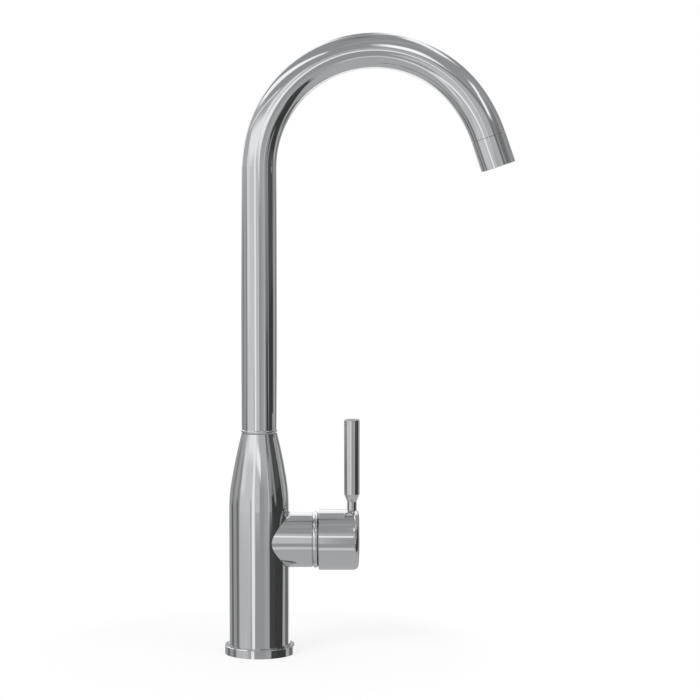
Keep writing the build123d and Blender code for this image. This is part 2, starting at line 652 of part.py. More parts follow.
def cartridge_carrier():
    """Turning part of the cartridge: it holds the pivot pin and keeps the driver in line."""
    carrier = rod(CARRIER_R, CARRIER_FOOT, CARRIER_SHOULDER)
    carrier += rod(NECK_BORE_R - RUN, CARRIER_SHOULDER, HOUSING_NECK_END)
    carrier -= block(CARRIER_SLOT, SPINDLE_W + 4 * RUN, CARRIER_FOOT, HOUSING_NECK_END)
    carrier -= block(3 * CARRIER_R, KEY_W + 4 * RUN, CARRIER_FOOT, KEY_TOP + PLAY)
    return carrier - Pos(0, 0, PIVOT_X) * Rot(90, 0, 0) * Cylinder(PIN_R + SEAT, PIN_L + 2 * SEAT)


def spindle_pivot_pin():
    """Pin across the carrier, on which the spindle tilts."""
    return Pos(0, 0, PIVOT_X) * Rot(90, 0, 0) * Cylinder(PIN_R, PIN_L)


def spindle():
    """Lever of the cartridge: a flat bar for the handle, a hub on the pin, and a ball below it."""
    bar = block(SPINDLE_T, SPINDLE_W, PIVOT_X, SPINDLE_END)
    bar += Pos(0, 0, PIVOT_X) * Rot(90, 0, 0) * Cylinder(SPINDLE_HUB_R, SPINDLE_W)
    bar += rod(SPINDLE_NECK_R, BALL_X, PIVOT_X)
    bar += Pos(0, 0, BALL_X) * Sphere(BALL_R)
    return bar - Pos(0, 0, PIVOT_X) * Rot(90, 0, 0) * Cylinder(PIN_R + RUN, SPINDLE_W)


def cartridge_housing():
    """Plastic can round the discs and the carrier, with a neck inside the nut."""
    step = CARRIER_FOOT - SEAT
    return turned(
        (CHAMBER_R, BASE_TOP), (CARTRIDGE_R, BASE_TOP), (CARTRIDGE_R, HOUSING_SHOULDER),
        (NECK_R, HOUSING_SHOULDER), (NECK_R, HOUSING_NECK_END),
        (NECK_BORE_R, HOUSING_NECK_END), (NECK_BORE_R, CARRIER_SHOULDER + SEAT),
        (CARRIER_R + RUN, CARRIER_SHOULDER + SEAT), (CARRIER_R + RUN, step), (CHAMBER_R, step),
    )


def cartridge_nut():
    """Nut that clamps the cartridge: a thread in the boss, a flange for the trim ring, and notches."""
    nut = turned(
        (NUT_BORE_R, HOUSING_SHOULDER), (NUT_THREAD_R, HOUSING_SHOULDER), (NUT_THREAD_R, BOSS_END),
        (NUT_FLANGE_R, BOSS_END), (NUT_FLANGE_R, NUT_FLANGE_END), (NUT_NOSE_R, NUT_FLANGE_END),
        (NUT_NOSE_R, NUT_END), (NUT_BORE_R, NUT_END),
    )
    notch = block(4 * NUT_NOSE_W, NUT_NOTCH_W, NUT_END - NUT_NOTCH_DEPTH, NUT_END)
    return nut - PolarLocations(NUT_NOSE_R, NUT_NOTCHES) * notch


def trim_ring():
    """Bead that shows between boss and cap, with a dome under the cap that it rolls over."""
    foot, edge = BOSS_END + SEAT, TRIM_EDGE_R
    inner_r = DOME_R - DOME_WALL
    bore = NUT_FLANGE_R + SEAT
    start = acos((TRIM_END - PIVOT_X) / DOME_R)
    inner_start = asin(bore / inner_r)
    mouth = radians(DOME_MOUTH)

    def on_dome(radius, angle):
        return (radius * sin(angle), PIVOT_X + radius * cos(angle))

    outline = ThreePointArc((edge, foot), (TRIM_R, (foot + TRIM_END) / 2), (edge, TRIM_END))
    outline += Line((edge, TRIM_END), on_dome(DOME_R, start))
    middle = on_dome(DOME_R, (start + mouth) / 2)
    outline += ThreePointArc(on_dome(DOME_R, start), middle, on_dome(DOME_R, mouth))
    outline += Line(on_dome(DOME_R, mouth), on_dome(inner_r, mouth))
    outline += Polyline(on_dome(inner_r, mouth), on_dome(inner_r, inner_start), (bore, foot), (edge, foot))
    return turned_outline(outline)


# ------------------------------------------------------------------ handle
def handle_cap():
    """Hollow cap with a hub for the spindle and bosses for the lever and the grub screw."""
    cap = rod(CAP_R, CAP_RIM, CAP_END)
    rims = cap.edges().filter_by(GeomType.CIRCLE).sort_by(Axis.Z)
    cap = fillet(rims[-1], CAP_END_R)
    cap = chamfer(cap.edges().filter_by(GeomType.CIRCLE).sort_by(Axis.Z)[0], CAP_RIM_EDGE)
    cap -= rod(CAP_BORE_R, CAP_RIM, CAP_CAVITY_END)
    cap += rod(HUB_R, HUB_FOOT, CAP_CAVITY_END)
    wall = CAP_BORE_R + CAP_WALL / 2
    lever_boss = drilling((0, 0, LEVER_X), (wall, 0, LEVER_X), LEVER_BOSS_R)
    cap += lever_boss & rod(CAP_R, 0, CAP_CAVITY_END)
    cap += drilling((0, 0, GRUB_X), (-wall, 0, GRUB_X), LEVER_BOSS_R)
    cap -= block(SPINDLE_T + 2 * SEAT, SPINDLE_W + 2 * SEAT, CAP_RIM, SPINDLE_END + SEAT)
    recess = CAP_R - NECK_RECESS
    cap -= drilling((CAP_R + PAST, 0, LEVER_X), (recess, 0, LEVER_X), NECK_D / 2 + NECK_GAP)
    stud_foot = recess - LEVER_STUD_L - PLAY
    cap -= drilling((CAP_R, 0, LEVER_X), (stud_foot, 0, LEVER_X), LEVER_STUD_R + SEAT)
    cap -= drilling((-CAP_R - PAST, 0, GRUB_X), (0, 0, GRUB_X), GRUB_R + SEAT)
    return cap


def lever_rod():
    """Upright lever: a round rod, a cone, a slim neck and the stud that screws into the cap."""
    foot = CAP_TOP_Z - NECK_RECESS
    tip = foot - LEVER_STUD_L
    lever = turned(
        (0, tip), (LEVER_STUD_R, tip), (LEVER_STUD_R, foot), (NECK_D / 2, foot),
        (NECK_D / 2, TAPER_FOOT), (LEVER_D / 2, TAPER_TOP), (LEVER_D / 2, LEVER_TOP), (0, LEVER_TOP),
    )
    top = lever.edges().filter_by(GeomType.CIRCLE).sort_by(Axis.Z)[-1]
    return Pos(LEVER_X, 0, 0) * chamfer(top, LEVER_TOP_EDGE)


def handle_grub_screw():
    """Headless screw from below the cap that grips the spindle."""
    below = Plane(origin=(-SPINDLE_T / 2 - SEAT, 0, GRUB_X), x_dir=(0, 1, 0), z_dir=(-1, 0, 0))
    return below * grub_screw(GRUB_R, GRUB_L, GRUB_KEY)


# ------------------------------------------------------------------ the whole tap
def in_boss(shape):
    """Place a shape from the boss's plane."""
    return BOSS * shape


def in_outlet(shape):
    """Place a shape from the outlet's plane."""
    return outlet_plane() * shape


pieces = {
    "body_casting": body_casting(),
    "base_ring": base_ring(),
    "base_gasket": base_gasket(),
    "spout_slide_washer": spout_slide_washer(),
    "spout_retaining_screw": spout_retaining_screw(),
    "spout_tube": spout_tube(),
    "spout_spigot": spout_spigot(),
    "spigot_o_rings": spigot_rings(O_RING_Z, O_RING_H, O_RING_W),
    "spigot_bearing_rings": spigot_rings(BEARING_Z, BEARING_H, BEARING_W),
    "spout_end_adapter": in_outlet(spout_end_adapter()),
    "nozzle_housing": in_outlet(nozzle_housing()),
    "nozzle_seal": in_outlet(nozzle_seal()),
    "aerator_insert": in_outlet(aerator_insert()),
    "aerator_screen": in_outlet(aerator_screen()),
    "filtered_outlet_jet": in_outlet(filtered_outlet_jet()),
    "filtered_tube": filtered_tube(),
    "filtered_union_nipple": filtered_union_nipple(),
    "filtered_union_seal": filtered_union_seal(),
    "cartridge_base": in_boss(cartridge_base()),
    "cartridge_port_seals": in_boss(port_seals(FLOOR_X)),
    "disc_port_seals": in_boss(port_seals(BASE_TOP - PORT_SEAL_H)),
    "lower_ceramic_disc": in_boss(lower_ceramic_disc()),
    "upper_ceramic_disc": in_boss(upper_ceramic_disc()),
    "disc_driver": in_boss(disc_driver()),
    "cartridge_carrier": in_boss(cartridge_carrier()),
    "spindle_pivot_pin": in_boss(spindle_pivot_pin()),
    "spindle": in_boss(spindle()),
    "cartridge_housing": in_boss(cartridge_housing()),
    "cartridge_nut": in_boss(cartridge_nut()),
    "trim_ring": in_boss(trim_ring()),
    "handle_cap": in_boss(handle_cap()),
    "lever_rod": lever_rod(),
    "handle_grub_screw": in_boss(handle_grub_screw()),
}

os.makedirs("parts", exist_ok=True)
for name, piece in pieces.items():
    export_step(piece, f"parts/{name}.step")
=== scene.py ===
# %% [markdown]
# # A three way water tap in Blender
# The tap is a tall column with a flared top, a swan neck spout and a lever on a side boss. Its
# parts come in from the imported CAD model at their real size, in metres, with +Z up and the front
# at -Y. This script gives them their finishes, adds the threads and rubber rings that the CAD
# leaves plain, and builds the studio round them. Polished chrome has hardly any colour of its own,
# so most of its look comes from what it mirrors, and the studio gets as much care as the metal.

from math import cos, pi, radians, sin

import bmesh
import bpy
from mathutils import Matrix, Vector


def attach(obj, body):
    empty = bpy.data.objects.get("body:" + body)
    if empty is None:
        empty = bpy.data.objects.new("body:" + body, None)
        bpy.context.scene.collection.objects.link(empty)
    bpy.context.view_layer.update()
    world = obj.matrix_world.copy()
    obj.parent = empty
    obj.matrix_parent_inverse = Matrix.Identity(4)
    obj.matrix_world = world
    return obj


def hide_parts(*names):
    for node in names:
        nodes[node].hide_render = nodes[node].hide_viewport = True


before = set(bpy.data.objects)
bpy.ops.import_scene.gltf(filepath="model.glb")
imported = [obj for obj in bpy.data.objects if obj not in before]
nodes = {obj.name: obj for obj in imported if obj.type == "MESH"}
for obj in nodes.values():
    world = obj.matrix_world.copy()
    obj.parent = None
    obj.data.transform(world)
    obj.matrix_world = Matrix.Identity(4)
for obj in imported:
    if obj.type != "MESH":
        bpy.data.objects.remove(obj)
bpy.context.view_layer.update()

# %% [markdown]
# ## Camera
# The photograph was taken from far away with a long lens: the upright sides stay parallel, and the
# base's ellipse is so flat that the camera was about a hand's height below the spout's crown. An
# orthographic camera would keep the sides parallel too, but it would show the base and the crown
# at the same slant. So this is a perspective camera, more than a metre and a half away. It looks
# along +Y and dips a few degrees, so that nothing has to be shifted in the frame.

# %% Camera
MM = 0.001
CAMERA_PLACE = (67.0 * MM, -1646.0 * MM, 347.0 * MM)
CAMERA_DIP = radians(4.225)
SENSOR_MM = 36.0
FRAME_PIXELS = 700          # the photograph's width
FOCAL_PIXELS = 2240         # the lens's focal length in the same pixels

camera = bpy.data.cameras.new("camera")
camera.sensor_width = SENSOR_MM
camera.lens = SENSOR_MM * FOCAL_PIXELS / FRAME_PIXELS
camera_object = bpy.data.objects.new("camera", camera)
camera_object.location = CAMERA_PLACE
camera_object.rotation_euler = (pi / 2 - CAMERA_DIP, 0, 0)
bpy.context.scene.collection.objects.link(camera_object)
bpy.context.scene.camera = camera_object
bpy.context.scene.view_settings.view_transform = "Standard"
print("lens", round(camera.lens, 1), "mm")

# %% [markdown]
# ## Node trees
# Every finish and every part of the studio is a small node tree. It could be laid out by hand in
# the shader editor, but a script has to add, set and link each node, which is long to read. The
# helpers below do that in a line: an input that is given a socket is linked to it, and any other
# value is set. So a material reads from top to bottom.

# %% Helpers for node trees
MIX_SOCKETS = {         # a Mix node's numbers for its two values and its result
    "RGBA": (6, 7, 2), "FLOAT": (2, 3, 0), "VECTOR": (4, 5, 1),
}


def add(tree, kind, inputs=None, **settings):
    """Adds a node, sets its properties, and fills its inputs with values or with links."""
    node = tree.nodes.new(kind)
    for key, value in settings.items():
        setattr(node, key, value)
    for key, value in (inputs or {}).items():
        if isinstance(value, bpy.types.NodeSocket):
            tree.links.new(value, node.inputs[key])
        else:
            node.inputs[key].default_value = value
    return node


def calc(tree, operation, *values):
    """One Math node. A value is a number or a socket."""
    return add(tree, "ShaderNodeMath", dict(enumerate(values)), operation=operation).outputs[0]


def vector_calc(tree, operation, *values, output=0):
    """One Vector Math node. Output 0 is its vector, and output 1 its number."""
    node = add(tree, "ShaderNodeVectorMath", dict(enumerate(values)), operation=operation)
    return node.outputs[output]


def distance(tree, a, b):
    """How far a point is from an axis, from its two coordinates across that axis."""
    squares = [calc(tree, "MULTIPLY", side, side) for side in (a, b)]
    return calc(tree, "SQRT", calc(tree, "ADD", *squares))


def map_range(tree, value, low, high, to_low=0.0, to_high=1.0, kind="LINEAR"):
    """Turns low to high into to_low to to_high, evenly or as a smooth step."""
    return add(tree, "ShaderNodeMapRange", {
        "Value": value, "From Min": low, "From Max": high, "To Min": to_low, "To Max": to_high,
    }, interpolation_type=kind).outputs[0]


def mix(tree, kind, share, first, second):
    """The first value where share is 0, the second where it is 1, and a mix between them."""
    a, b, result = MIX_SOCKETS[kind]
    node = add(tree, "ShaderNodeMix", {0: share, a: first, b: second}, data_type=kind)
    return node.outputs[result]


def noise(tree, place, grain, detail):
    """A cloudy pattern between 0 and 1."""
    return add(tree, "ShaderNodeTexNoise", {
        "Vector": place, "Scale": grain, "Detail": detail}).outputs["Fac"]


def seeing_rays(tree):
    """1 for rays from the camera, a mirror or glass, and 0 for those that light things."""
    path = add(tree, "ShaderNodeLightPath")
    seen = calc(tree, "MAXIMUM", path.outputs["Is Camera Ray"], path.outputs["Is Glossy Ray"])
    return calc(tree, "MAXIMUM", seen, path.outputs["Is Transmission Ray"])


def new_material(name):
    """An empty material, its node tree, and a socket with each point's place on its object."""
    material = bpy.data.materials.new(name)
    material.use_nodes = True
    tree = material.node_tree
    tree.nodes.clear()
    return material, tree, add(tree, "ShaderNodeTexCoord").outputs["Object"]


# %% [markdown]
# ## Background
# The photograph's background is pure white. Bright lamps on a white wall would give that too, but
# they would wash out the tap. So the world is white only to the rays that see it, from the camera,
# from a mirror or through glass, and lights everything else at a softer level.

# %% World
WHITE = (1, 1, 1, 1)
SOFT_LIGHT = 0.75

world = bpy.data.worlds.new("studio")
world.use_nodes = True
bpy.context.scene.world = world
tree = world.node_tree
tree.nodes.clear()
soft = add(tree, "ShaderNodeBackground", {"Color": WHITE, "Strength": SOFT_LIGHT})
white = add(tree, "ShaderNodeBackground", {"Color": WHITE, "Strength": 1.0})
mixed = add(tree, "ShaderNodeMixShader", {
    0: seeing_rays(tree), 1: soft.outputs[0], 2: white.outputs[0]})
add(tree, "ShaderNodeOutputWorld", {"Surface": mixed.outputs[0]})
print("a white world that lights at", SOFT_LIGHT)

# %% [markdown]
# ## Floor
# The tap stands on a pale floor that takes its soft shadow. A backdrop that curves up behind would
# hide the horizon, but it would show in other views. So the floor is flat, and further out its
# material fades into the white of the world. The photograph has hardly any shadow, so the floor is
# mostly plain white even near the tap. Its metal mirrors the studio below it and no floor, so the
# floor is hidden from mirror rays.

# %% Floor
FLOOR_HALF = 4.0
FLOOR_COLOUR = (0.94, 0.94, 0.94, 1)
FADE_FROM, FADE_TO = 0.05, 0.2      # metres from the column's axis
FLOOR_GLOW = 0.72                   # share of plain white near the tap

material, tree, place = new_material("pale_floor")
from_tap = vector_calc(tree, "LENGTH", place, output=1)
fade = map_range(tree, from_tap, FADE_FROM, FADE_TO, kind="SMOOTHSTEP")
fade = calc(tree, "MAXIMUM", fade, FLOOR_GLOW)
lit = add(tree, "ShaderNodeBsdfDiffuse", {"Color": FLOOR_COLOUR})
glow = add(tree, "ShaderNodeEmission", {"Color": WHITE, "Strength": 1.0})
mixed = add(tree, "ShaderNodeMixShader", {
    0: calc(tree, "MULTIPLY", fade, seeing_rays(tree)), 1: lit.outputs[0], 2: glow.outputs[0]})
add(tree, "ShaderNodeOutputMaterial", {"Surface": mixed.outputs[0]})

mesh = bpy.data.meshes.new("floor")
corners = [(x * FLOOR_HALF, y * FLOOR_HALF, 0) for x, y in ((-1, -1), (1, -1), (1, 1), (-1, 1))]
mesh.from_pydata(corners, [], [(0, 1, 2, 3)])
mesh.materials.append(material)
floor = bpy.data.objects.new("floor", mesh)
bpy.context.scene.collection.objects.link(floor)
floor.visible_glossy = False
print("the floor is", 2 * FLOOR_HALF, "m wide")

# %% [markdown]
# ## Studio
# Polished metal shows its surroundings as stripes. The photograph's stripes tell what stood round
# the tap: grey screens overhead and below, long white softboxes on the left and behind, and a black
# panel low on the right. They could be real lamps and boards, but a mirror shows only their
# outline, their brightness and how near they are. They stood about a metre away, because the
# stripes shift along the tall parts. So they are painted on the inside of a dome of that size,
# which only mirror rays see. Each screen is a soft-edged patch with four corners, given as azimuth
# and elevation in degrees from the dome's centre. Azimuth 0 faces the camera, 90 is to the right,
# and later screens lie over earlier ones.

# %% Screens of the studio
DOME_R = 1.0
DOME_CENTRE = Vector((0, 0, 100.0 * MM))
DOME_SEGMENTS, DOME_RINGS = 64, 32
OVERHEAD, AROUND, BELOW = 0.44, 0.50, 0.60    # grey levels of the dome itself
SKY_RISE = (10, 60)                           # elevations between AROUND and OVERHEAD
GROUND_FALL = (-50, -15)                      # elevations between BELOW and AROUND

# name: level, softness in degrees, four corners
SCREENS = {
    "light band overhead": (0.52, 4, (-10, 62), (80, 68), (80, 58), (-10, 54)),
    "back left sky": (1.45, 5, (-190, 73), (-130, 61), (-113, 19), (-170, 2)),
    "back right sky": (1.40, 4, (138, 60), (190, 74), (190, 10), (141, 19)),
    "gap between the skies": (0.47, 3, (159, 84), (200, 84), (192, 54), (166, 51)),
    "dark square overhead": (0.21, 4, (45, 85), (135, 85), (-135, 85), (-45, 85)),
    "high right softbox": (1.45, 2.5, (85, 63), (125, 74), (150, 60), (99, 56)),
    "high left softbox": (1.5, 1.5, (-93, 59), (-15, 57.5), (-14, 54), (-92, 42)),
    "high left softbox, end": (1.5, 1.5, (-112, 41), (-99, 57), (-91, 60), (-90, 42)),
    "dim wall above": (0.62, 4, (-114, 42), (-66, 44), (-68, 14), (-116, 11)),
    "arc": (1.2, 1.0, (-96, 34.5), (-27, 40), (-27, 38), (-96, 32)),
    "under the arc": (0.82, 1.5, (-80, 36), (-48, 38), (-48, 31), (-80, 31)),
    "grey above the softbox": (0.64, 2, (-49, 38), (-16, 37), (-16, 28), (-47, 31)),
    "left wall": (0.87, 2, (-71, 17), (0, 17), (0, -12), (-81, -11)),
    "long softbox": (1.25, 3, (-78, 31), (-14, 27), (-10, 17), (-66, 16)),
    "softbox tail": (1.04, 4, (-77, 22), (-57, 22), (-59, 5), (-79, 4)),
    "left wall, low": (0.73, 3, (-79, -7), (-36, -9), (-32, -28), (-80, -26)),
    "low softbox": (1.08, 3.5, (-52, -18), (-2, -22), (-2, -33), (-50, -29)),
    "low softbox, right": (0.88, 3, (-4, -22), (26, -24), (26, -32), (-4, -32)),
    "gap by the upright softbox": (0.60, 1, (-33, 2), (-28, 2), (-28, -18), (-33, -18)),
    "upright softbox": (1.3, 1.5, (-25, 33), (-17, 33), (-16, -22), (-26, -22)),
    "front strip": (0.79, 2, (-15, 30), (3, 30), (3, -10), (-15, -10)),
    "front shade": (0.46, 3, (-14, -8), (3, -8), (3, -21), (-14, -21)),
    "front panel": (0.46, 2, (3, 30), (22, 30), (22, -20), (3, -20)),
    "front panel, right": (0.54, 2, (20, 28), (35, 28), (35, -26), (20, -26)),
    "front panel, high": (0.66, 5, (1, 31), (40, 31), (40, 14), (1, 14)),
    "bright slit": (1.4, 2, (-14, 24), (8, 19.5), (8, 14), (-12, 18.5)),
    "small softbox": (1.2, 2.5, (-16, 34), (-5, 33), (-5, 26), (-16, 26)),
    "round window": (1.6, 3, (9, 51), (28, 51), (28, 38), (9, 38)),
    "dark frame": (0.30, 2, (18, 36), (60, 34), (60, 28), (18, 32)),
    "dark frame, right": (0.30, 3, (60, 30), (93, 42), (96, 30), (60, 24)),
    "right window": (1.5, 1.5, (53, 33), (67, 48.5), (78, 47.5), (64, 34)),
    "back wall left": (0.47, 5, (-160, 1), (-78, 14), (-80, -28), (-156, -35)),
    "door left, top": (0.31, 3, (-121, 11), (-110, 11), (-113, -4), (-124, -4)),
    "door left": (0.17, 2.5, (-126, -4), (-114, -4), (-113, -19), (-126, -19)),
    "lit gap between the doors": (0.56, 3, (-101, 14), (-91, 14), (-95, 0), (-104, 0)),
    "door, top": (0.38, 2.5, (-87, 12), (-78, 11), (-82, -1), (-92, -1)),
    "door": (0.23, 2.5, (-94, -1), (-83, -1), (-83, -19), (-94, -19)),
    "dark corner": (0.34, 5, (-150, -19), (-126, -18), (-126, -32), (-147, -33)),
    "white behind left": (1.05, 4, (-190, -6), (-158, -6), (-161, -24), (-190, -28)),
    "back wall right": (0.42, 5, (104, 26), (148, 22), (150, -20), (104, -20)),
    "grey behind": (0.40, 5, (104, 56), (124, 56), (130, 24), (104, 24)),
    "grey strip right": (0.50, 2.5, (92, 50), (102, 50), (102, 26), (93, 28)),
    "light by the post": (0.58, 2.5, (109, 10), (126, 14), (125, -3), (110, -3)),
    "post, top": (0.25, 3, (129, 13), (144, 16), (141, -4), (127, -4)),
    "dark post": (0.20, 3, (112, -6), (133, -4), (133, -19), (112, -19)),
    "slit behind": (1.25, 3, (143, -2), (200, 6), (200, -26), (137, -19)),
    "panel edge": (0.42, 2, (40, 20), (54, 20), (50, -9), (40, -9)),
    "panel edge, high": (0.22, 2, (41, 30), (51, 29), (51, 18), (41, 18)),
    "bright post": (0.80, 1.2, (35, 16), (39, 16), (39, -9), (35, -9)),
    "dark wall right": (0.11, 6, (64, 28), (104, 24), (106, 2), (50, 2)),
    "black panel": (0.065, 1.5, (49, 4), (106, 8), (94, -20), (50, -33)),
    "light stripe in the dark": (0.42, 3, (54, 26), (62, 26), (68, -2), (62, -2)),
    "black panel, low": (0.085, 1.5, (39, -8), (60, -8), (60, -30), (39, -24)),
    "bright edge": (0.58, 2, (103, -7), (109, -7), (111, -20), (97, -20)),
}
print(len(SCREENS), "screens")

# %% [markdown]
# ## One screen
# Seen from the dome's centre, a screen is what lies between four planes through that centre, one
# along each side. A direction is inside where its dot product with all four planes' normals is
# positive, and a smooth step over that product makes the edge soft. Each screen could be a lit
# plane of its own, but then its soft edge would need a material of its own as well. One node group
# does for them all, and each one is laid over the level that the screens before it leave.

# %% A screen as a node group
EDGES = ("Edge 1", "Edge 2", "Edge 3", "Edge 4")


def direction(azimuth, elevation):
    """Unit vector towards an azimuth and an elevation, both in degrees."""
    a, e = radians(azimuth), radians(elevation)
    return Vector((sin(a) * cos(e), -cos(a) * cos(e), sin(e)))


def screen_group():
    """Node group that lays one soft-edged screen over what is already on the dome."""
    group = bpy.data.node_groups.new("screen", "ShaderNodeTree")
    for name in ("Direction", *EDGES):
        group.interface.new_socket(name, in_out="INPUT", socket_type="NodeSocketVector")
    for name in ("Soft", "Level", "Under"):
        group.interface.new_socket(name, in_out="INPUT", socket_type="NodeSocketFloat")
    group.interface.new_socket("Over", in_out="OUTPUT", socket_type="NodeSocketFloat")
    given = group.nodes.new("NodeGroupInput").outputs
    outside = calc(group, "MULTIPLY", given["Soft"], -1.0)
    cover = 1.0
    for name in EDGES:
        depth = vector_calc(group, "DOT_PRODUCT", given["Direction"], given[name], output=1)
        step = map_range(group, depth, outside, given["Soft"], kind="SMOOTHSTEP")
        cover = calc(group, "MULTIPLY", cover, step)
    change = calc(group, "SUBTRACT", given["Level"], given["Under"])
    change = calc(group, "MULTIPLY", cover, change)
    out = group.nodes.new("NodeGroupOutput")
    group.links.new(calc(group, "ADD", given["Under"], change), out.inputs["Over"])
    return group


def edge_normals(corners):
    """The normals of the planes along a screen's four sides, all towards its inside."""
    points = [direction(*corner) for corner in corners]
    middle = sum(points, Vector())
    normals = [a.cross(b).normalized() for a, b in zip(points, points[1:] + points[:1])]
    return [normal if normal.dot(middle) > 0 else -normal for normal in normals]


# %% Paint the dome
material, tree, place = new_material("dome")
towards = vector_calc(tree, "NORMALIZE", vector_calc(tree, "SUBTRACT", place, tuple(DOME_CENTRE)))
height = add(tree, "ShaderNodeSeparateXYZ", {0: towards}).outputs["Z"]
rise, fall = [[sin(radians(end)) for end in ends] for ends in (SKY_RISE, GROUND_FALL)]
sky = map_range(tree, height, *rise, AROUND, OVERHEAD, kind="SMOOTHSTEP")
ground = map_range(tree, height, *fall, BELOW - AROUND, 0.0, kind="SMOOTHSTEP")
level = calc(tree, "ADD", sky, ground)
group = screen_group()
for name, (shade, softness, *corners) in SCREENS.items():
    inputs = dict(zip(EDGES, edge_normals(corners)), Direction=towards, Under=level,
                  Level=shade, Soft=sin(radians(softness)))
    screen = add(tree, "ShaderNodeGroup", inputs, node_tree=group, label=name)
    level = screen.outputs["Over"]
glow = add(tree, "ShaderNodeEmission", {"Color": WHITE, "Strength": level})
add(tree, "ShaderNodeOutputMaterial", {"Surface": glow.outputs[0]})
material.cycles.emission_sampling = "NONE"
print(len(tree.nodes), "nodes paint the dome")

# %% Build the dome
bpy.ops.mesh.primitive_uv_sphere_add(
    segments=DOME_SEGMENTS, ring_count=DOME_RINGS, radius=DOME_R, location=DOME_CENTRE)
dome = bpy.context.object
dome.name = "dome"
dome.data.transform(dome.matrix_world)
dome.matrix_world.identity()
dome.data.materials.append(material)
dome.visible_camera = dome.visible_diffuse = dome.visible_transmission = False
dome.visible_shadow = dome.visible_volume_scatter = False
print("the dome is", 2 * DOME_R, "m wide")

# %% [markdown]
# ## Lamps
# Two large soft lamps light what isn't metal, and give the tap its shadow on the floor. A sun lamp
# would do that too, but with a hard shadow that the photograph doesn't have. The lamps are hidden
# from mirror rays, because the dome already holds the softboxes that the metal shows.

# %% Lamps
LAMP_WIDTH = 1.4
LAMPS = {               # name: place in metres, watts
    "key_lamp": ((-1.3, -1.6, 1.7), 26),
    "fill_lamp": ((1.6, -1.2, 1.2), 9),
}
TAP_MIDDLE = Vector((60.0 * MM, 0, 220.0 * MM))

for name, (place, watts) in LAMPS.items():
    lamp = bpy.data.lights.new(name, "AREA")
    lamp.size, lamp.energy = LAMP_WIDTH, watts
    lamp_object = bpy.data.objects.new(name, lamp)
    lamp_object.location = place
    lamp_object.rotation_euler = (TAP_MIDDLE - Vector(place)).to_track_quat("-Z", "Y").to_euler()
    lamp_object.visible_glossy = False
    bpy.context.scene.collection.objects.link(lamp_object)
    print(name, watts, "W,", round((TAP_MIDDLE - Vector(place)).length, 2), "m from the tap")

# %% [markdown]
# ## Chrome
# The outside is chrome plate on polished brass: a neutral mirror that gives back a little over half
# of the light. One even roughness would look like a drawing of chrome. Plating is never perfectly
# even, so a fine noise moves the roughness, and a very shallow bump bends the reflections slightly,
# as on the real metal.

# %% Chrome plate
CHROME_COLOUR = (0.592, 0.599, 0.610, 1)
CHROME_ROUGHNESS = (0.04, 0.075)            # where the plating is best and where it is worst
CLOUD, RIPPLE = (90.0, 3.0), (45.0, 1.0)    # grain and detail of the two noises
CLOUD_RANGE = (0.3, 0.7)                    # where nearly all of the cloud lies
RIPPLE_STRENGTH, RIPPLE_DEPTH = 0.04, 0.4 * MM


def chrome_look(tree, place):
    """Colour, roughness and normal of chrome plate: an uneven mirror with a shallow ripple."""
    roughness = map_range(tree, noise(tree, place, *CLOUD), *CLOUD_RANGE, *CHROME_ROUGHNESS)
    bump = add(tree, "ShaderNodeBump", {
        "Height": noise(tree, place, *RIPPLE), "Strength": RIPPLE_STRENGTH,
        "Distance": RIPPLE_DEPTH})
    return CHROME_COLOUR, roughness, bump.outputs[0]


def finish_surface(tree, metallic, colour, roughness, normal):
    """Ends a material in one shader."""
    shader = add(tree, "ShaderNodeBsdfPrincipled", {
        "Base Color": colour, "Metallic": metallic, "Roughness": roughness, "Normal": normal})
    add(tree, "ShaderNodeOutputMaterial", {"Surface": shader.outputs[0]})


material, tree, place = new_material("chrome_plate")
finish_surface(tree, 1.0, *chrome_look(tree, place))
finishes = {"chrome_plate": material}
print("chrome plate, roughness", CHROME_ROUGHNESS)

# %% [markdown]
# ## Inside finishes
# The parts inside keep the finish they were made with. Turned brass and steel carry fine rings
# round their axis, which a noise squeezed along one direction draws. Moulded rubber and plastic
# have a cloudy gloss and a fine grain, and lapped ceramic is smooth with faint specks. Each could
# have its own tree, but they differ only in their numbers, so one function makes them all: a noise
# mixes two near colours, moves the roughness and gives a shallow bump.

# %% Inside finishes
GRAIN_DETAIL = 4.0
GRAIN_RANGE = (0.35, 0.65)      # where most of the noise lies
GRAIN_STRENGTH = 0.3
EVEN = (1, 1, 1)                # how the noise is squeezed along X, Y and Z
LATHE = (0.12, 0.12, 3.0)       # and how it is for the rings that a lathe leaves

# name: metallic, two colours, roughness where shiny and where dull, grain, squeeze, bump in mm
MADE = {
    "raw_brass": (1.0, (0.72, 0.56, 0.30), (0.62, 0.46, 0.23), 0.26, 0.42, 700, LATHE, 0.05),
    "stainless_steel": (1.0, (0.56, 0.56, 0.55), (0.47, 0.47, 0.465), 0.24, 0.38, 800, LATHE, 0.04),
    "black_rubber": (0.0, (0.03, 0.03, 0.032), (0.02, 0.02, 0.021), 0.52, 0.72, 900, EVEN, 0.06),
    "slide_plastic": (0.0, (0.26, 0.26, 0.27), (0.22, 0.22, 0.23), 0.38, 0.52, 500, EVEN, 0.03),
    "cartridge_plastic": (0.0, (0.78, 0.78, 0.75), (0.70, 0.70, 0.67), 0.40, 0.55, 600, EVEN, 0.04),
    "alumina_ceramic": (0.0, (0.88, 0.86, 0.80), (0.82, 0.80, 0.74), 0.12, 0.24, 1200, EVEN, 0.01),
    "water_line_plastic": (0.0, (0.55, 0.70, 0.85), (0.48, 0.63, 0.80), 0.2, 0.32, 150, EVEN, 0.03),
    "aerator_plastic": (0.0, (0.42, 0.43, 0.45), (0.36, 0.37, 0.39), 0.36, 0.50, 600, EVEN, 0.03),
}


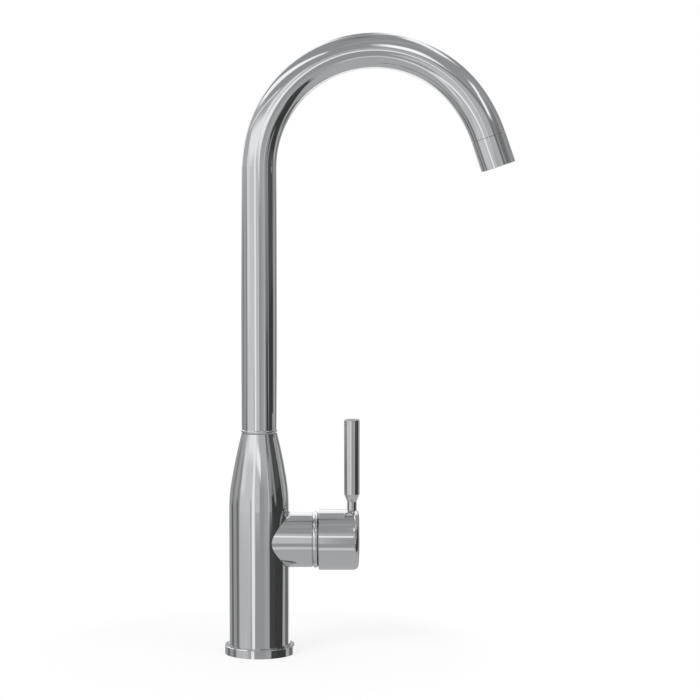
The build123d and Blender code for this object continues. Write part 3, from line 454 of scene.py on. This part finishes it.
def made_look(tree, place, colour, second, shiny, dull, grain, squeeze, bump_mm):
    """Colour, roughness and normal of a grained surface, all from one noise."""
    place = add(tree, "ShaderNodeMapping", {"Vector": place, "Scale": squeeze}).outputs[0]
    grains = noise(tree, place, grain, GRAIN_DETAIL)
    spread = map_range(tree, grains, *GRAIN_RANGE)
    mixed = mix(tree, "RGBA", spread, (*colour, 1), (*second, 1))
    roughness = map_range(tree, spread, 0.0, 1.0, shiny, dull)
    bump = add(tree, "ShaderNodeBump", {
        "Height": grains, "Strength": GRAIN_STRENGTH, "Distance": bump_mm * MM})
    return mixed, roughness, bump.outputs[0]


for name, (metallic, *look) in MADE.items():
    material, tree, place = new_material(name)
    finish_surface(tree, metallic, *made_look(tree, place, *look))
    finishes[name] = material

for node in nodes.values():
    material_slot = node.material_slots[0]
    material_slot.material = finishes[material_slot.material.name.split(".")[0]]
print(len(finishes), "finishes on", len(nodes), "nodes")

# %% [markdown]
# ## The casting's inside
# Plating hardly reaches the inside of a casting. The hose space, the spout's socket and the bore
# for the cartridge are bare brass. A second material slot could hold the brass, but the casting's
# faces come from the CAD and stay as they are. So its one material changes from chrome to brass by
# the place: inside a radius round the column's axis, or round the boss's axis.

# %% Chrome outside, brass inside
HOSE_SPACE_R, HOSE_SPACE_TOP = 21.0 * MM, 64.0 * MM
SOCKET_R = 11.5 * MM
BOSS_HEIGHT, BOSS_BORE_R = 84.5 * MM, 19.4 * MM

material, tree, place = new_material("plated_casting")
x, y, z = add(tree, "ShaderNodeSeparateXYZ", {0: place}).outputs
from_axis = distance(tree, x, y)
from_boss = distance(tree, calc(tree, "SUBTRACT", z, BOSS_HEIGHT), y)
hose_space = calc(tree, "MULTIPLY", calc(tree, "LESS_THAN", from_axis, HOSE_SPACE_R),
                  calc(tree, "LESS_THAN", z, HOSE_SPACE_TOP))
socket = calc(tree, "LESS_THAN", from_axis, SOCKET_R)
bore = calc(tree, "MULTIPLY", calc(tree, "LESS_THAN", from_boss, BOSS_BORE_R),
            calc(tree, "GREATER_THAN", x, 0.0))
inside = calc(tree, "MAXIMUM", calc(tree, "MAXIMUM", hose_space, socket), bore)
metallic, *look = MADE["raw_brass"]      # chrome is as metallic as brass
plate, brass = chrome_look(tree, place), made_look(tree, place, *look)
kinds = ("RGBA", "FLOAT", "VECTOR")      # of the colour, the roughness and the normal
finish_surface(tree, metallic, *[
    mix(tree, kind, inside, *pair) for kind, *pair in zip(kinds, plate, brass)])
nodes["body_casting"].material_slots[0].material = material
print("the casting is bare inside", round(HOSE_SPACE_R / MM, 1), "mm from its axis")

# %% [markdown]
# ## Threads and rings
# The three inlets and the stud hole under the column are tapped, and the CAD leaves them plain at
# their core radius. An O-ring has a round section, and the CAD gives it a square one. A Screw
# modifier could turn a thread, but threads and rings are alike: a small section swept along a
# curve. So both are Geometry Nodes trees with named sizes, and one tree makes every thread.

# %% Geometry Nodes: what both trees share
MERGE_WITHIN = 1e-7


def swept_tree(name, sizes):
    """A Geometry Nodes tree with number inputs for the sizes, a material input and its output."""
    tree = bpy.data.node_groups.new(name, "GeometryNodeTree")
    for size_name in sizes:
        tree.interface.new_socket(size_name, in_out="INPUT", socket_type="NodeSocketFloat")
    tree.interface.new_socket("Material", in_out="INPUT", socket_type="NodeSocketMaterial")
    tree.interface.new_socket("Geometry", in_out="OUTPUT", socket_type="NodeSocketGeometry")
    return tree, tree.nodes.new("NodeGroupInput").outputs


def end_tree(tree, given, curve, section):
    """Sweeps the section along the curve, and ends in Realize Instances and Set Material."""
    swept = add(tree, "GeometryNodeCurveToMesh", {
        "Curve": curve, "Profile Curve": section, "Fill Caps": True})
    real = add(tree, "GeometryNodeRealizeInstances", {0: swept.outputs[0]})
    done = add(tree, "GeometryNodeSetMaterial", {
        "Geometry": real.outputs[0], "Material": given["Material"]})
    out = tree.nodes.new("NodeGroupOutput")
    tree.links.new(done.outputs[0], out.inputs["Geometry"])
    print(tree.name, "tree with", len(tree.nodes), "nodes")


def grow(name, tree, sizes, finish):
    """Runs a tree in a modifier and keeps its result as a plain mesh."""
    holder = bpy.data.objects.new(name, bpy.data.meshes.new(name))
    bpy.context.scene.collection.objects.link(holder)
    modifier = holder.modifiers.new("shape", "NODES")
    modifier.node_group = tree
    values = dict(sizes, Material=finishes[finish])
    for item in tree.interface.items_tree:
        if item.in_out == "INPUT":
            modifier[item.identifier] = values[item.name]
    graph = bpy.context.evaluated_depsgraph_get()
    graph.update()
    mesh = bpy.data.meshes.new_from_object(holder.evaluated_get(graph), depsgraph=graph)
    holder.modifiers.clear()
    holder.data = mesh
    return holder


def closed_outwards(mesh):
    """Merges doubled points, turns every face outwards, and counts the open edges."""
    shape = bmesh.new()
    shape.from_mesh(mesh)
    bmesh.ops.remove_doubles(shape, verts=shape.verts, dist=MERGE_WITHIN)
    bmesh.ops.recalc_face_normals(shape, faces=shape.faces)
    open_edges = sum(1 for edge in shape.edges if not edge.is_manifold)
    shape.to_mesh(mesh)
    shape.free()
    return open_edges


# %% Geometry Nodes: the thread
TURN_STEPS = 32         # steps in one turn
CREST_SIDES = 6         # sides of the thread's section

thread_tree, given = swept_tree("thread", ("Radius", "Pitch", "Turns", "Crest"))
spiral = add(thread_tree, "GeometryNodeCurveSpiral", {
    "Resolution": TURN_STEPS, "Rotations": given["Turns"], "Start Radius": given["Radius"],
    "End Radius": given["Radius"],
    "Height": calc(thread_tree, "MULTIPLY", given["Pitch"], given["Turns"])})
crest = add(thread_tree, "GeometryNodeCurvePrimitiveCircle", {
    "Resolution": CREST_SIDES, "Radius": given["Crest"]})
end_tree(thread_tree, given, spiral.outputs[0], crest.outputs[0])

# %% Geometry Nodes: the round ring
RING_STEPS, RING_SIDES = 96, 20

ring_tree, given = swept_tree("round_ring", ("Radius", "Half Width", "Half Height"))
path = add(ring_tree, "GeometryNodeCurvePrimitiveCircle", {
    "Resolution": RING_STEPS, "Radius": given["Radius"]})
circle = add(ring_tree, "GeometryNodeCurvePrimitiveCircle", {
    "Resolution": RING_SIDES, "Radius": 1.0})
scale = add(ring_tree, "ShaderNodeCombineXYZ", {
    "X": given["Half Width"], "Y": given["Half Height"], "Z": 1.0})
section = add(ring_tree, "GeometryNodeTransform", {
    "Geometry": circle.outputs[0], "Scale": scale.outputs[0]})
end_tree(ring_tree, given, path.outputs[0], section.outputs[0])

# %% [markdown]
# ## Cut the threads
# Each thread's section sits half sunk in its bore's wall, so that only the crests stand out.
# Cutting the groove into the casting would be truer, but its mesh stays as the CAD made it, and
# from below the two look alike. The hoses take a fine thread of 1 mm pitch, and the stud a coarser
# one.

# %% Cut the threads
CREST_SHARE = 0.22      # radius of the section as a share of the pitch
THREADS = {             # name: core radius, pitch, foot and length along Z, place of the axis (mm)
    "inlet_thread_hot": (4.5, 1.0, 51.2, 8.6, (1.0, 8.0435)),
    "inlet_thread_filtered": (4.5, 1.0, 51.2, 8.6, (1.0, -8.0435)),
    "inlet_thread_cold": (4.5, 1.0, 51.2, 8.6, (-12.6, 0.0)),
    "stud_thread": (3.4, 1.25, 51.3, 10.4, (13.1, 0.0)),
}
for name, (radius, pitch, foot, length, (x, y)) in THREADS.items():
    sizes = {"Radius": radius * MM, "Pitch": pitch * MM, "Turns": length / pitch,
             "Crest": CREST_SHARE * pitch * MM}
    thread = grow(name, thread_tree, sizes, "raw_brass")
    thread.data.transform(Matrix.Translation((x * MM, y * MM, foot * MM)))
    open_edges = closed_outwards(thread.data)
    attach(thread, "tap_body")
    print(name, len(thread.data.polygons), "faces,", open_edges, "open edges")

# %% [markdown]
# ## O-rings
# An O-ring is squeezed a little where it seals, so its section is taller than it is wide. A torus
# would be quicker, but its section is a true circle. The two rings on the spigot sit in their
# grooves one above the other, turn with the spout, and make one piece, as in the CAD.

# %% Round rings
O_RINGS = [             # radius at the section's middle, width, height, middle's height (mm)
    (9.63, 1.6, 2.2, 149.5),
    (9.63, 1.6, 2.2, 143.5),
]


def round_rings(name, replaced, body, rings):
    """One piece of several round rings, which takes a CAD node's place."""
    joined = bmesh.new()
    for radius, width, tall, z in rings:
        sizes = {"Radius": radius * MM, "Half Width": width / 2 * MM, "Half Height": tall / 2 * MM}
        ring = grow(name, ring_tree, sizes, "black_rubber")
        ring.data.transform(Matrix.Translation((0, 0, z * MM)))
        joined.from_mesh(ring.data)
        bpy.data.objects.remove(ring)
    mesh = bpy.data.meshes.new(name)
    joined.to_mesh(mesh)
    joined.free()
    mesh.materials.append(finishes["black_rubber"])
    mesh.polygons.foreach_set("use_smooth", [True] * len(mesh.polygons))
    open_edges = closed_outwards(mesh)
    piece = bpy.data.objects.new(name, mesh)
    bpy.context.scene.collection.objects.link(piece)
    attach(piece, body)
    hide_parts(replaced)
    print(name, [round(size / MM, 2) for size in piece.dimensions], open_edges, "open edges")


round_rings("spigot_o_rings_round", "spigot_o_rings", "spout", O_RINGS)
